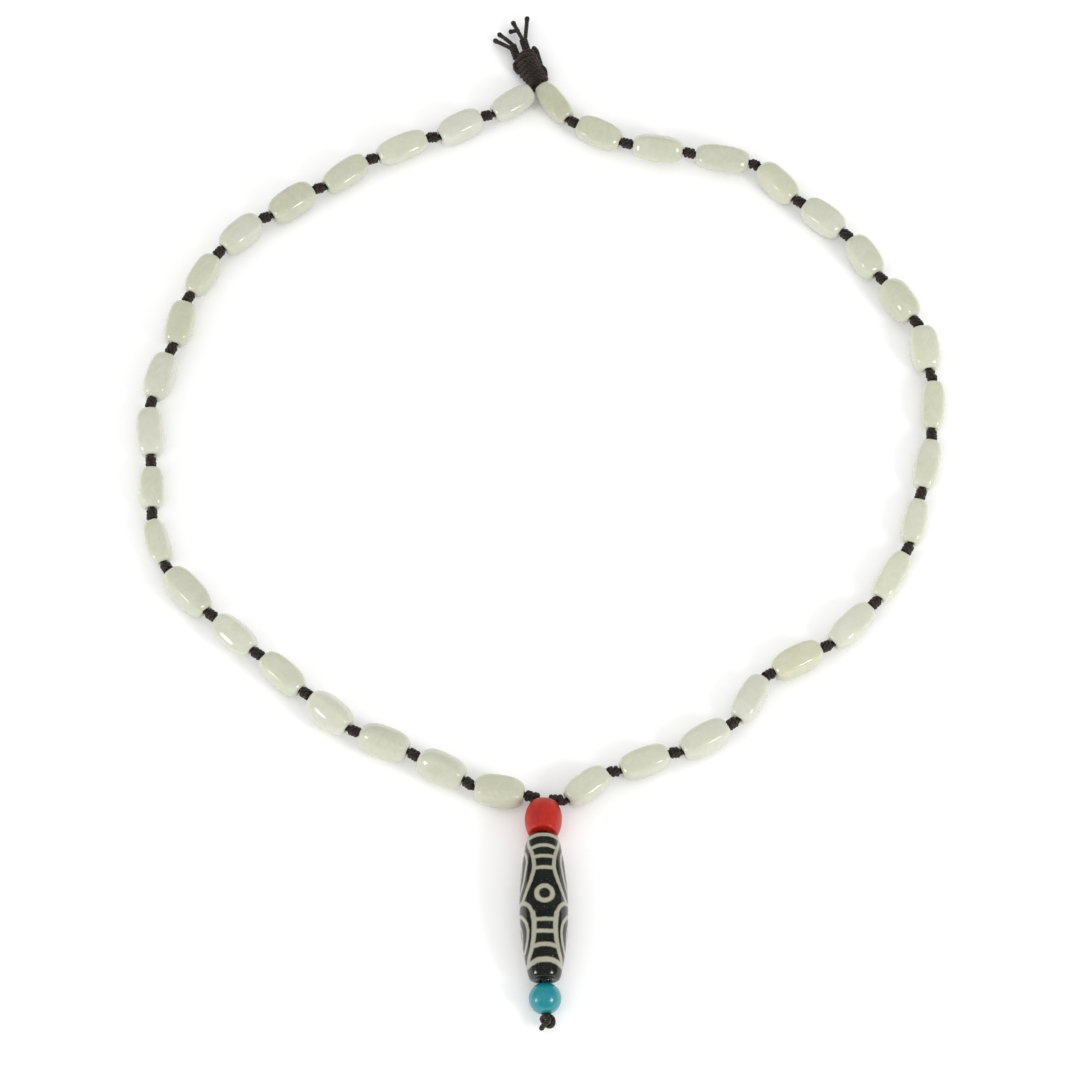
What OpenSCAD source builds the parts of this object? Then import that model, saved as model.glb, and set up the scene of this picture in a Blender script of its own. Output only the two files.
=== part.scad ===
// Dzi bead necklace, laid out flat with its clasp-free tie at the back.
// Two strings of soft square jade beads leave the hole of a coral bead, and the
// patterned dzi bead and a turquoise bead hang below it on the same cord.
// Millimetres, +Z up. The necklace rests on the plane z = 0.

/* [Jade beads] */
// Length of a middling jade bead
jade_length = 13; // [11:0.5:16]
// Width of a middling jade bead across its flats
jade_width = 7.2; // [6.4:0.1:8.4]
// Width of the flat end of a bead, where its hole opens
jade_end_width = 3.6; // [3:0.1:4.6]
// How square the section is: 2 is round
jade_squareness = 3.3; // [2:0.1:5]
// How full the sides are: 2 is an ellipse
jade_fullness = 2.6; // [2:0.1:4]

/* [Cord] */
// Thickness of the cord inside the jade beads
cord_diameter = 1.5; // [1:0.1:1.8]
// Play between the cord and the side of a hole
bore_play = 0.25; // [0.15:0.05:0.4]
// Space between two beads, which a knot fills
knot_space = 3.6; // [3:0.1:5]
// Thickness of a knot between two beads
knot_diameter = 3.2; // [2.8:0.1:4]
// Wraps in a knot
knot_wraps = 3; // [2:1:5]
// Gap between a knot and the bead beside it
knot_gap = 0.15; // [0.1:0.05:0.3]
// Thickness of the long knot on each side of the coral bead
long_knot_diameter = 2.8; // [2.4:0.1:3.2]
// Wraps in a long knot
long_knot_wraps = 4; // [3:1:6]

/* [Pendant] */
// Diameter of the coral bead
coral_diameter = 9.4; // [8:0.1:11]
// Length of the coral bead
coral_length = 9; // [8:0.1:11]
// Diameter of the coral bead's ends before their rims are rounded
coral_end_diameter = 7.2; // [6:0.1:7.8]
// How far the coral bead's lower end is lifted, in degrees
coral_pitch = 15; // [5:1:20]
// Diameter of the dzi bead
dzi_diameter = 12; // [11:0.1:14]
// Length of the dzi bead
dzi_length = 37.4; // [34:0.2:42]
// Diameter of the dzi bead's ends before their rims are rounded
dzi_end_diameter = 7.5; // [7:0.1:9]
// How far the dzi bead's lower end is dropped, in degrees
dzi_pitch = 3.5; // [0:0.5:4.5]
// Diameter of the turquoise bead
turquoise_diameter = 8; // [7:0.1:9.5]
// How far the turquoise bead's hole slopes down, in degrees
turquoise_pitch = 10; // [0:1:20]
// Rounding of the rims of the coral and dzi beads
rim_rounding = 0.7; // [0.4:0.1:1]
// Gap between two beads of the pendant
pendant_gap = 0.2; // [0.15:0.05:0.4]
// Play between the cord and the holes of the pendant's beads
pendant_play = 0.6; // [0.5:0.05:0.8]
// Thickness of the strand that the end knot is tied with
end_strand_diameter = 1.5; // [1.2:0.1:1.8]
// Width of the end knot
end_knot_width = 3.7; // [3.3:0.1:4.5]

/* [Tie at the back] */
// Length of the body of the tie
tie_length = 12; // [10:0.5:15]
// Width of the body of the tie across its widest wrap
tie_width = 6; // [5.4:0.1:7]
// Thickness of the cord in the wraps of the tie
tie_wrap_diameter = 2.6; // [2.2:0.1:3]
// Gap between the tie and what lies beside it
tie_gap = 0.15; // [0.1:0.05:0.3]
// Thickness of the doubled stubs that stand out of the tie
stub_diameter = 2.1; // [1.8:0.1:2.4]
// Thickness of one loose strand
strand_diameter = 1.1; // [0.8:0.1:1.3]
// Thickness of the melted tip of a strand
tip_diameter = 1.7; // [1.4:0.1:1.9]

/* [Hidden] */
$fn = 72;

// Sides and rings of a jade bead
BEAD_SIDES = 16;
BEAD_RINGS = 9;
// How deeply two wraps of a knot sink into each other, as a share of a wrap's radius
WRAP_SINK = 0.5;
// How far a cord runs into a knot, as a share of the space between two beads
CORD_REACH = 0.37;

// Columns of the tables of beads, which have a row for each bead from the coral bead up.
// HEADING is the way from one knot to the next, in degrees from +X, TURN is how far the
// bead lies off that way, and ROLL is its roll about its own length.
// LONG and WIDE are shares of jade_length and jade_width.
HEADING = 0;
TURN = 1;
ROLL = 2;
LONG = 3;
WIDE = 4;
left_beads = [
    [168, 3, 5, 0.95, 1.07],
    [147, 5, 35, 0.95, 1.04],
    [160, -2, 30, 0.98, 1.05],
    [139, -2, -45, 0.96, 1.06],
    [137, 0, 5, 1.01, 0.98],
    [140, -4, -30, 0.96, 0.97],
    [132, -1, 10, 1.12, 1.04],
    [105, 1, -15, 0.94, 0.84],
    [91, 2, 10, 0.88, 0.92],
    [95, -1, -5, 1.03, 1.01],
    [71, 4, 0, 1.00, 1.03],
    [76, 3, 5, 0.95, 1.02],
    [63, -1, -5, 0.94, 0.90],
    [41, 3, 0, 0.96, 1.00],
    [30, 7, 0, 1.00, 1.05],
    [35, 3, 15, 1.00, 0.96],
    [22, 4, 20, 1.06, 0.98],
    [23, 7, 0, 0.95, 1.01],
    [33, 1, 15, 0.94, 0.96]
];
right_beads = [
    [34, 4, 5, 0.94, 0.99],
    [15, 7, 0, 0.97, 0.99],
    [29, 2, -5, 1.01, 1.02],
    [59, 2, 0, 1.00, 0.98],
    [24, 5, 0, 1.03, 1.01],
    [45, 1, 5, 1.07, 0.98],
    [60, 1, 5, 1.09, 0.91],
    [76, 2, 0, 0.96, 0.88],
    [78, 0, 0, 1.07, 0.90],
    [88, -3, 0, 1.05, 0.86],
    [103, -7, 0, 0.95, 1.07],
    [124, -3, 30, 0.94, 1.02],
    [123, -3, 5, 0.94, 1.02],
    [141, -1, -5, 0.95, 1.06],
    [134, -2, 10, 0.98, 0.96],
    [170, 0, -25, 1.09, 1.00],
    [170, 1, 45, 1.02, 0.98],
    [156, -2, -15, 0.95, 1.02],
    [126, -1, -15, 0.96, 0.89]
];

// Where each string's first knot lies from the point where the two strings part:
// its direction in degrees from +X and its distance as a share of knot_space
LEAD_HEADING = 0;
LEAD_DISTANCE = 1;
left_lead = [169, 0.92];
right_lead = [-8, 1.16];
// How far the cord comes out of the coral bead before its two halves part, and how far
// from there the long knots start, as shares of the cord's thickness
CORD_RISE = 1;
LONG_KNOT_START = 0.77;

// Headings of the pendant's beads, in degrees from +X
coral_heading = 268.5;
dzi_heading = 270.7;
turquoise_heading = 275;

// Columns of the table of the tie's wraps, from the beads up: place along the tie as a
// share of tie_length, place across it and width as shares of tie_width, and tilt
ALONG = 0;
ACROSS = 1;
WRAP_WIDTH = 2;
TILT = 3;
tie_heading = 106;
tie_wraps = [
    [0.17, 0.15, 0.87, 14],
    [0.38, -0.03, 1.00, -12],
    [0.60, -0.18, 0.98, 14],
    [0.83, 0.05, 0.73, -10]
];
// Core of the tie: its ends as shares of tie_length, its width as a share of tie_width
tie_core = [0.05, 1.00, 0.6];

// Points of the cut ends: along the tie as a share of tie_length, and across it and up
// from the surface as shares of tie_width
UP = 2;
left_stub = [[0.76, -0.53, 0.48], [1.20, -0.49, 0.46]];
left_strands = [
    [[1.17, -0.41, 0.50], [1.58, -0.84, 0.36]],
    [[1.14, -0.56, 0.44], [1.47, -1.10, 0.30]]
];
right_stub = [[1.02, 0.10, 0.50], [1.29, 0.12, 0.48]];
right_strands = [
    [[1.27, 0.18, 0.48], [1.82, 0.58, 0.36]],
    [[1.27, 0.06, 0.48], [1.79, -0.08, 0.36]],
    [[1.56, 0.00, 0.41], [1.60, -0.30, 0.32]]
];

cord_radius = cord_diameter / 2;
cord_rise = CORD_RISE * cord_diameter;
long_knot_start = LONG_KNOT_START * cord_diameter;
jade_bore = cord_diameter + 2 * bore_play;
pendant_bore = cord_diameter + 2 * pendant_play;

function flat(angle) = [cos(angle), sin(angle)];
function slanted(angle, rise) = [cos(angle) * cos(rise), sin(angle) * cos(rise), sin(rise)];
function raised(point, height) = [point[0], point[1], height];
function turned(a, b) = acos(min(1, a * b / norm(a) / norm(b)));
function toward(a, b) = (b - a) / norm(b - a);

// Form of a jade bead
section_angles = [for (side = [0 : BEAD_SIDES - 1]) side * 360 / BEAD_SIDES];
end_cut = pow(1 - pow(jade_end_width / jade_width, jade_fullness), 1 / jade_fullness);
function ring_place(ring) = sin(-90 + 180 * ring / (BEAD_RINGS - 1));
function side_share(place) = pow(1 - pow(end_cut * abs(place), jade_fullness), 1 / jade_fullness);
function to_square(share) = pow(abs(share), jade_squareness);
function section_share(angle) = pow(to_square(cos(angle)) + to_square(sin(angle)), -1 / jade_squareness);
function bead_points(length, width) = [
    for (ring = [0 : BEAD_RINGS - 1], angle = section_angles)
        let (place = ring_place(ring), radius = width / 2 * side_share(place) * section_share(angle))
            [length / 2 * place, radius * cos(angle), radius * sin(angle)]
];
bead_faces = concat(
    [[for (side = [0 : BEAD_SIDES - 1]) side]],
    [for (ring = [0 : BEAD_RINGS - 2], side = [0 : BEAD_SIDES - 1])
        let (near = ring * BEAD_SIDES, next = (side + 1) % BEAD_SIDES)
            [near + side, near + BEAD_SIDES + side, near + BEAD_SIDES + next, near + next]],
    [[for (side = [BEAD_SIDES - 1 : -1 : 0]) (BEAD_RINGS - 1) * BEAD_SIDES + side]]
);

// Places of the jade beads, from the point where the two strings part
function bead_length(bead) = jade_length * bead[LONG];
function bead_width(bead) = jade_width * bead[WIDE];
function bead_yaw(bead) = bead[HEADING] + bead[TURN];
function bead_step(bead) = (bead_length(bead) + knot_space) * flat(bead[HEADING]);
function knot_place(beads, lead, i) =
    i == 0 ? knot_space * lead[LEAD_DISTANCE] * flat(lead[LEAD_HEADING])
           : knot_place(beads, lead, i - 1) + bead_step(beads[i - 1]);
function lowest_share(roll) = min([
    for (angle = section_angles)
        section_share(angle) * sin(angle + roll)
]);
function bead_height(bead) = -bead_width(bead) / 2 * lowest_share(bead[ROLL]);
function bead_centre(beads, lead, i) =
    raised(knot_place(beads, lead, i) + bead_step(beads[i]) / 2, bead_height(beads[i]));
function near_mouth(beads, lead, i) =
    bead_centre(beads, lead, i) - bead_length(beads[i]) / 2 * raised(flat(bead_yaw(beads[i])), 0);
function far_mouth(beads, lead, i) =
    bead_centre(beads, lead, i) + bead_length(beads[i]) / 2 * raised(flat(bead_yaw(beads[i])), 0);

// Barrel beads: an arc along the side, with the radius of the rim rounded off
function arc_radius(length, diameter, end_diameter) =
    let (sag = (diameter - end_diameter) / 2) (pow(length / 2, 2) + sag * sag) / (2 * sag);
function rim_radius(end_diameter) = norm([end_diameter / 2, end_diameter / 2 - rim_rounding]);
function barrel_radius(place, length, diameter, end_diameter) =
    let (arc = arc_radius(length, diameter, end_diameter),
         side = sqrt(arc * arc - place * place) - arc + diameter / 2,
         from_rim = place - (length - end_diameter) / 2,
         rim = rim_radius(end_diameter))
        from_rim < 0 ? side : min(side, sqrt(rim * rim - from_rim * from_rim));
// Height of a tilted barrel's centre when it rests on the surface
function barrel_height(length, diameter, end_diameter, pitch) = max([
    for (share = [0 : 0.01 : 1])
        let (place = share * length / 2)
            barrel_radius(place, length, diameter, end_diameter) * cos(pitch) + place * sin(pitch)
]);

// The coral bead starts below the point where the strings part
coral_height = barrel_height(coral_length, coral_diameter, coral_end_diameter, coral_pitch);
coral_way = slanted(coral_heading, coral_pitch);
coral_top_height = coral_height - coral_length / 2 * sin(coral_pitch);
coral_top = raised(cord_rise * coral_way, coral_top_height);
coral_centre = coral_top + coral_length / 2 * coral_way;
coral_foot = coral_top + coral_length * coral_way;
parting = coral_top - cord_rise * coral_way;

// The dzi bead lies against the lower rim of the coral bead's tilted end
dzi_height = barrel_height(dzi_length, dzi_diameter, dzi_end_diameter, dzi_pitch);
dzi_way = slanted(dzi_heading, -dzi_pitch);
dzi_face_radius = dzi_end_diameter / 2 - rim_rounding;
dzi_top_height = dzi_height + dzi_length / 2 * sin(dzi_pitch);
rim_drop = coral_foot[2] - dzi_top_height + dzi_face_radius * cos(dzi_pitch);
rim_set_back = dzi_face_radius * sin(dzi_pitch);
coral_to_dzi = (pendant_gap + rim_drop * sin(coral_pitch)) / cos(coral_pitch) + rim_set_back;
dzi_top = raised(coral_foot + coral_to_dzi * raised(flat(dzi_heading), 0), dzi_top_height);
dzi_centre = dzi_top + dzi_length / 2 * dzi_way;
dzi_foot = dzi_top + dzi_length * dzi_way;

// The turquoise bead lies against the dzi bead's lower end
turquoise_radius = turquoise_diameter / 2;
turquoise_way = slanted(turquoise_heading, -turquoise_pitch);
turquoise_centre = raised(
    dzi_foot + (turquoise_radius + pendant_gap) * raised(flat(dzi_heading), 0) / cos(dzi_pitch),
    turquoise_radius
);
turquoise_reach = sqrt(pow(turquoise_radius, 2) - pow(pendant_bore / 2, 2));

// The end knot is a ring of cord with its end laid across it, against the turquoise bead
end_ring_radius = (end_knot_width - end_strand_diameter) / 2;
end_knot_seat = sqrt(
    pow(turquoise_radius + pendant_gap + end_strand_diameter / 2, 2) - pow(end_ring_radius, 2)
);
end_knot_centre = turquoise_centre + end_knot_seat * turquoise_way;
// The laid strand's two ends from the ring's centre, as shares of the knot's width:
// to the right, down the pendant and up
end_strand_from = [0.16, 0.12, 0.24];
end_strand_to = [-0.40, 0.42, -0.38];
function end_strand_point(share) = end_knot_centre + end_knot_width * [share[0], -share[1], share[2]];

// The pendant's cord, which bends where one hole stands higher than the next
cord_drift = 0.6 * pendant_play;
pendant_points = [
    parting + cord_radius * coral_way,
    coral_foot + [0, 0, cord_drift],
    dzi_top - [0, 0, cord_drift],
    dzi_foot,
    turquoise_centre - turquoise_reach * turquoise_way,
    turquoise_centre + (turquoise_reach - cord_radius) * turquoise_way
];

// The tie starts where the two strings meet again
left_end = knot_place(left_beads, left_lead, len(left_beads));
right_end = knot_place(right_beads, right_lead, len(right_beads));
tie_foot = (left_end + right_end) / 2;
tie_way = flat(tie_heading);
tie_side = flat(tie_heading - 90);
tie_height = tie_width / 2 + tie_gap;
function tie_point(share, up) =
    raised(tie_foot + tie_length * share[ALONG] * tie_way + tie_width * share[ACROSS] * tie_side, up);
function end_point(share) = tie_point(share, tie_width * share[UP]);

// Extents of the necklace on the surface, which set where the origin lies
function bead_ground(beads, lead, axis) = [
    for (i = [0 : len(beads) - 1])
        let (bead = beads[i], centre = bead_centre(beads, lead, i), way = flat(bead_yaw(bead)))
            for (p = bead_points(bead_length(bead), bead_width(bead)))
                let (across = p[1] * cos(bead[ROLL]) - p[2] * sin(bead[ROLL]))
                    centre[axis] + p[0] * way[axis] + across * (axis == 0 ? -way[1] : way[0])
];
ground_x = concat(bead_ground(left_beads, left_lead, 0), bead_ground(right_beads, right_lead, 0));
tip_y = [for (strand = concat(left_strands, right_strands)) end_point(strand[1])[1] + tip_diameter / 2];
lowest_y = end_strand_point(end_strand_to)[1] - end_strand_diameter / 2;
middle = [(min(ground_x) + max(ground_x)) / 2, (lowest_y + max(tip_y)) / 2];

function two_digits(n) = n < 10 ? str("0", n) : str(n);
left_names = [for (i = [1 : len(left_beads)]) str("jade_bead_l", two_digits(i))];
right_names = [for (i = [1 : len(right_beads)]) str("jade_bead_r", two_digits(i))];

// Moves its children from the laid out plan to the part's own frame
module in_place() {
    translate([-middle[0], -middle[1], 0]) children();
}

// Stands its children, made along +Z, at a point and turns them along a way
module along(point, way) {
    translate(point)
        rotate([0, acos(way[2] / norm(way)), atan2(way[1], way[0])])
            children();
}

module rod(from, to, diameter) {
    along((from + to) / 2, to - from)
        cylinder(h = norm(to - from), d = diameter, center = true);
}

// A knot of wraps side by side around +Z
module wrapped_knot(length, diameter, wraps) {
    wrap_radius = length / (2 + (2 - WRAP_SINK) * (wraps - 1));
    core_radius = diameter / 2 - wrap_radius;
    rotate_extrude()
        union() {
            translate([0, wrap_radius - length / 2])
                square([core_radius, length - 2 * wrap_radius]);
            for (wrap = [0 : wraps - 1])
                translate([core_radius, wrap_radius - length / 2 + wrap * (2 - WRAP_SINK) * wrap_radius])
                    circle(r = wrap_radius);
        }
}

// A knot that fills the way between two points, clear of the beads that it may touch there
module knot_between(from, to, from_clear, to_clear, diameter, wraps) {
    way = toward(from, to);
    start = from + from_clear * way;
    end = to - to_clear * way;
    along((start + end) / 2, way)
        wrapped_knot(norm(end - start), diameter, wraps);
}

// Space that a tilted knot needs in front of a bead's flat end: its first wrap is a ring
// of about a third of the knot's thickness in radius, of cord about a fifth of it
function knot_clearance(way, bead_way, diameter) =
    let (tilt = turned(way, bead_way))
        (knot_gap + diameter / 3 * sin(tilt) + diameter / 5 * (1 - cos(tilt))) / cos(tilt);

module jade_bead(beads, lead, i) {
    bead = beads[i];
    color("#d0d2be")
        in_place()
            translate(bead_centre(beads, lead, i))
                rotate([0, 0, bead_yaw(bead)])
                    difference() {
                        rotate([bead[ROLL], 0, 0])
                            polyhedron(bead_points(bead_length(bead), bead_width(bead)), bead_faces);
                        rotate([0, 90, 0])
                            cylinder(h = bead_length(bead) + jade_bore, d = jade_bore, center = true);
                    }
}

// The cord of one side: a rod through each bead, a knot between each pair and a long
// knot at the coral bead
module knotted_cord(beads, lead) {
    reach = CORD_REACH * knot_space;
    first = near_mouth(beads, lead, 0);
    first_way = toward(first, parting);
    last = len(beads) - 1;
    color("#2e211e")
        in_place()
            union() {
                for (i = [0 : last]) {
                    bead_way = raised(flat(bead_yaw(beads[i])), 0);
                    rod(
                        near_mouth(beads, lead, i) - reach * bead_way,
                        far_mouth(beads, lead, i) + (i == last ? knot_gap : reach) * bead_way,
                        cord_diameter
                    );
                }
                for (i = [0 : last - 1]) {
                    from = far_mouth(beads, lead, i);
                    to = near_mouth(beads, lead, i + 1);
                    from_way = raised(flat(bead_yaw(beads[i])), 0);
                    to_way = raised(flat(bead_yaw(beads[i + 1])), 0);
                    knot_between(
                        from, to,
                        knot_clearance(to - from, from_way, knot_diameter),
                        knot_clearance(to - from, to_way, knot_diameter),
                        knot_diameter, knot_wraps
                    );
                }
                knot_between(
                    first, parting,
                    knot_clearance(-first_way, raised(flat(bead_yaw(beads[0])), 0), long_knot_diameter),
                    long_knot_start,
                    long_knot_diameter, long_knot_wraps
                );
            }
}

// A barrel bead along +Z with its rims rounded, before it is drilled
module barrel(length, diameter, end_diameter) {
    arc = arc_radius(length, diameter, end_diameter);
    rim = rim_radius(end_diameter);
    rim_place = (length - end_diameter) / 2;
    rotate_extrude()
        intersection() {
            translate([0, -length / 2]) square([diameter, length]);
            translate([diameter / 2 - arc, 0]) circle(r = arc, $fn = 720);
            rim_outline(rim, rim_place, length, diameter);
        }
}

// The outline that rounds both rims: a circle about each end, and all that lies between
module rim_outline(rim, rim_place, length, diameter) {
    intersection() {
        union() {
            translate([0, rim_place]) circle(r = rim);
            translate([0, -length]) square([diameter, length + rim_place]);
        }
        union() {
            translate([0, -rim_place]) circle(r = rim);
            translate([0, -rim_place]) square([diameter, length + rim_place]);
        }
    }
}

module coral_bead() {
    color("#c8281e")
        in_place()
            along(coral_centre, coral_way)
                difference() {
                    barrel(coral_length, coral_diameter, coral_end_diameter);
                    cylinder(h = coral_length + pendant_bore, d = pendant_bore, center = true);
                }
}

module dzi_bead() {
    color("#25232a")
        in_place()
            along(dzi_centre, dzi_way)
                difference() {
                    barrel(dzi_length, dzi_diameter, dzi_end_diameter);
                    cylinder(h = dzi_length + pendant_bore, d = pendant_bore, center = true);
                }
}

module turquoise_bead() {
    color("#1c93ab")
        in_place()
            along(turquoise_centre, turquoise_way)
                difference() {
                    sphere(d = turquoise_diameter);
                    cylinder(h = turquoise_diameter + pendant_bore, d = pendant_bore, center = true);
                }
}

// The cord through the three beads of the pendant, with a round bend at each mouth
module pendant_cord() {
    color("#2e211e")
        in_place()
            union()
                for (i = [0 : len(pendant_points) - 1]) {
                    translate(pendant_points[i]) sphere(d = 1.06 * cord_diameter);
                    if (i > 0) rod(pendant_points[i - 1], pendant_points[i], cord_diameter);
                }
}

module end_knot() {
    from = end_strand_point(end_strand_from);
    to = end_strand_point(end_strand_to);
    color("#2e211e")
        in_place()
            union() {
                along(end_knot_centre, turquoise_way)
                    wrap_ring(end_knot_width, end_strand_diameter);
                rod(from, to, 0.9 * end_strand_diameter);
                translate(to) sphere(d = end_strand_diameter);
            }
}

// One wrap of cord around +Z, closed in the middle
module wrap_ring(width, diameter) {
    middle_radius = (width - diameter) / 2;
    rotate_extrude()
        union() {
            intersection() {
                translate([middle_radius, 0]) circle(d = diameter);
                translate([0, -diameter]) square([width, 2 * diameter]);
            }
            translate([0, -diameter / 4]) square([middle_radius, diameter / 2]);
        }
}

module closing_knot() {
    core_foot = tie_point([tie_core[0], 0], tie_height);
    core_top = tie_point([tie_core[1], 0], tie_height);
    color("#2e211e")
        in_place()
            union() {
                rod(core_foot, core_top, tie_width * tie_core[2]);
                for (wrap = tie_wraps)
                    along(
                        tie_point(wrap, tie_height),
                        raised(flat(tie_heading + wrap[TILT]), 0)
                    )
                        wrap_ring(tie_width * wrap[WRAP_WIDTH], tie_wrap_diameter);
            }
}

// A doubled stub that parts into loose strands with melted tips
module cord_ends(stub, strands) {
    color("#2e211e")
        in_place()
            union() {
                rod(end_point(stub[0]), end_point(stub[1]), stub_diameter);
                translate(end_point(stub[1])) sphere(d = 1.06 * stub_diameter);
                for (strand = strands) {
                    rod(end_point(strand[0]), end_point(strand[1]), strand_diameter);
                    translate(end_point(strand[1])) sphere(d = tip_diameter);
                }
            }
}

for (i = [0 : len(left_beads) - 1])
    jade_bead(left_beads, left_lead, i);
for (i = [0 : len(right_beads) - 1])
    jade_bead(right_beads, right_lead, i);
knotted_cord(left_beads, left_lead);  // knotted_cord_left
knotted_cord(right_beads, right_lead);  // knotted_cord_right
coral_bead();
dzi_bead();
turquoise_bead();
pendant_cord();
end_knot();
closing_knot();
cord_ends(left_stub, left_strands);  // cord_ends_left
cord_ends(right_stub, right_strands);  // cord_ends_right
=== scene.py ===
"""Dresses the dzi bead necklace with fine beads, knotted cord and materials.

The packed solids give every place and size. Each operator makes one kind of piece in
their place, and the panel in the 3D view's sidebar lists the operators in order.
"""

import math

import bpy
import numpy as np
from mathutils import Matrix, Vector, noise


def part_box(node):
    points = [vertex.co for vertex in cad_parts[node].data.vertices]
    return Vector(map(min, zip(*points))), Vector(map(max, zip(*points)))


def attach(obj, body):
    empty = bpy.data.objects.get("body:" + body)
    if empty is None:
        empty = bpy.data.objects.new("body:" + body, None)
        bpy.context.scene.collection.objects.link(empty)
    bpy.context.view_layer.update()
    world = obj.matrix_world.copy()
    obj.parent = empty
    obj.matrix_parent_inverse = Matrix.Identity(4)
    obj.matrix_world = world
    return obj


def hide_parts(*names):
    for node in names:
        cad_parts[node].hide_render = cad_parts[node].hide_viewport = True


bl_info = {
    "name": "Dzi Bead Necklace",
    "version": (1, 0, 0),
    "blender": (4, 5, 0),
    "location": "View3D > Sidebar > Necklace",
    "description": "Makes the beads, cord, floor and light of a dzi bead necklace",
    "category": "Object",
}

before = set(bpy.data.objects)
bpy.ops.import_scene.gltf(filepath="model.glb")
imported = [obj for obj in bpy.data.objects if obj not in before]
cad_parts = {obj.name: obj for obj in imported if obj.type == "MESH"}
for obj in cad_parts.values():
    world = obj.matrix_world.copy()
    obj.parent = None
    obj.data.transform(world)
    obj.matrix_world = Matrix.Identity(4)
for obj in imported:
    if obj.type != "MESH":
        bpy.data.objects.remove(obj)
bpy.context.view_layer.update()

MM = 0.001
LEFT_BEADS = sorted(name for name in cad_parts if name.startswith("jade_bead_l"))
RIGHT_BEADS = sorted(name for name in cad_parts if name.startswith("jade_bead_r"))

# Ridges along a jade bead, and the beads that have them on their flats too
RIDGES = 4
RIDGED_FLATS = ("jade_bead_l04",)

# How pale each jade bead is and how yellow, in listed steps, from the coral bead up
LEFT_PALE = (-2, -1, -1, 1, 0, 1, -1, 0, 0, 1, 0, -2, -1, 0, -3, -2, 0, 1, -1)
LEFT_YELLOW = (1, 0, 0, -1, 0, -1, 0, 0, 0, -1, -1, 1, 1, -1, 1, 0, 0, -2, -2)
RIGHT_PALE = (0, 0, 1, 1, 0, 2, 3, 2, 1, 1, 2, -1, 0, 1, 0, -2, -1, -2, -5)
RIGHT_YELLOW = (0, 0, -1, -1, 2, -1, 0, 0, 0, 1, 0, 1, 0, -1, 1, 0, 0, 1, 2)


def display(red, green, blue):
    """A colour as a screen shows it, from 0 to 255, as Blender's linear numbers."""
    shares = (red / 255, green / 255, blue / 255)
    return tuple(s / 12.92 if s < 0.04045 else ((s + 0.055) / 1.055) ** 2.4 for s in shares)


def length_setting(name, description, millimetres):
    """A length that the panel shows, given in millimetres and held in metres."""
    return bpy.props.FloatProperty(
        name=name,
        description=description,
        default=millimetres * MM,
        min=0,
        precision=5,
        subtype="DISTANCE",
        unit="LENGTH",
    )


def colour_setting(name, description, red, green, blue):
    """A colour that the panel shows."""
    return bpy.props.FloatVectorProperty(
        name=name,
        description=description,
        default=display(red, green, blue),
        min=0,
        max=1,
        size=3,
        subtype="COLOR",
    )


def angle_setting(name, description, degrees):
    """An angle that the panel shows, given in degrees and held in radians."""
    return bpy.props.FloatProperty(
        name=name,
        description=description,
        default=math.radians(degrees),
        subtype="ANGLE",
        unit="ROTATION",
    )


def share_setting(name, description, default, highest=1):
    """A plain number that the panel shows."""
    return bpy.props.FloatProperty(
        name=name, description=description, default=default, min=0, max=highest
    )


class JadeSettings(bpy.types.PropertyGroup):
    """Form and colour of the jade beads."""

    squareness: share_setting("Squareness", "How square a bead's section is; 2 is round", 2.75, 6)
    ridge: share_setting("Ridge", "How far a bead's soft ridges stand out, as a share", 0.03)
    ridge_turn: angle_setting("Ridge width", "Half the turn that one ridge takes up", 12)
    fullness: share_setting("Fullness", "How full a bead's sides are; 2 is an ellipse", 2.8, 6)
    end_share: share_setting("End width", "Width of a bead's end as a share of its width", 0.5)
    bore: length_setting("Hole", "Diameter of a bead's hole", 2.0)
    rim: length_setting("Rim", "How far the rim of a bead's end is rounded", 0.55)
    unevenness: length_setting("Unevenness", "How far the hand polished sides are off true", 0.16)
    colour: colour_setting("Stone", "Colour of a middling bead", 195, 196, 179)
    shade: colour_setting("Clouds", "Colour of the darker clouds in the stone", 183, 187, 163)
    pale_step: share_setting("Pale step", "How much one step of paleness lightens a bead", 0.0352)
    yellow_step: share_setting("Yellow step", "How much blue one step of yellow takes away", 0.042)
    red_step: share_setting("Red step", "How much red one step of yellow or blue adds", 0.0063)


class CordSettings(bpy.types.PropertyGroup):
    """Form and colour of the cord and its knots."""

    cord: length_setting("Cord", "Diameter of the cord inside the beads", 1.5)
    knot: length_setting("Knot", "Diameter of a knot between two beads", 2.9)
    long_knot: length_setting("Long knot", "Diameter of the knots beside the coral bead", 2.9)
    strand: length_setting("Strand", "Diameter of a knot's strand", 1.1)
    long_strand: length_setting("Long knot strand", "Diameter of a long knot's strand", 1.32)
    stub: length_setting("Stub", "Diameter of the doubled stubs at the back", 2.3)
    stub_strand: length_setting("Stub strand", "Diameter of a stub's strand", 0.9)
    gap: length_setting("Gap", "Least gap between a knot and a bead", 0.15)
    loose: length_setting("Loose strand", "Diameter of a loose strand at the back", 1.1)
    tip: length_setting("Tip", "Diameter of a strand's melted tip", 1.3975)
    colour: colour_setting("Cord colour", "Colour of the waxed cord", 48, 35, 27)
    # Painted shade: this colour darkens the grooves between the cord's plies, and darkens some
    # fibres at random
    shade: colour_setting("Cord shade", "Colour between the cord's fibres", 12, 9, 7)


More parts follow.
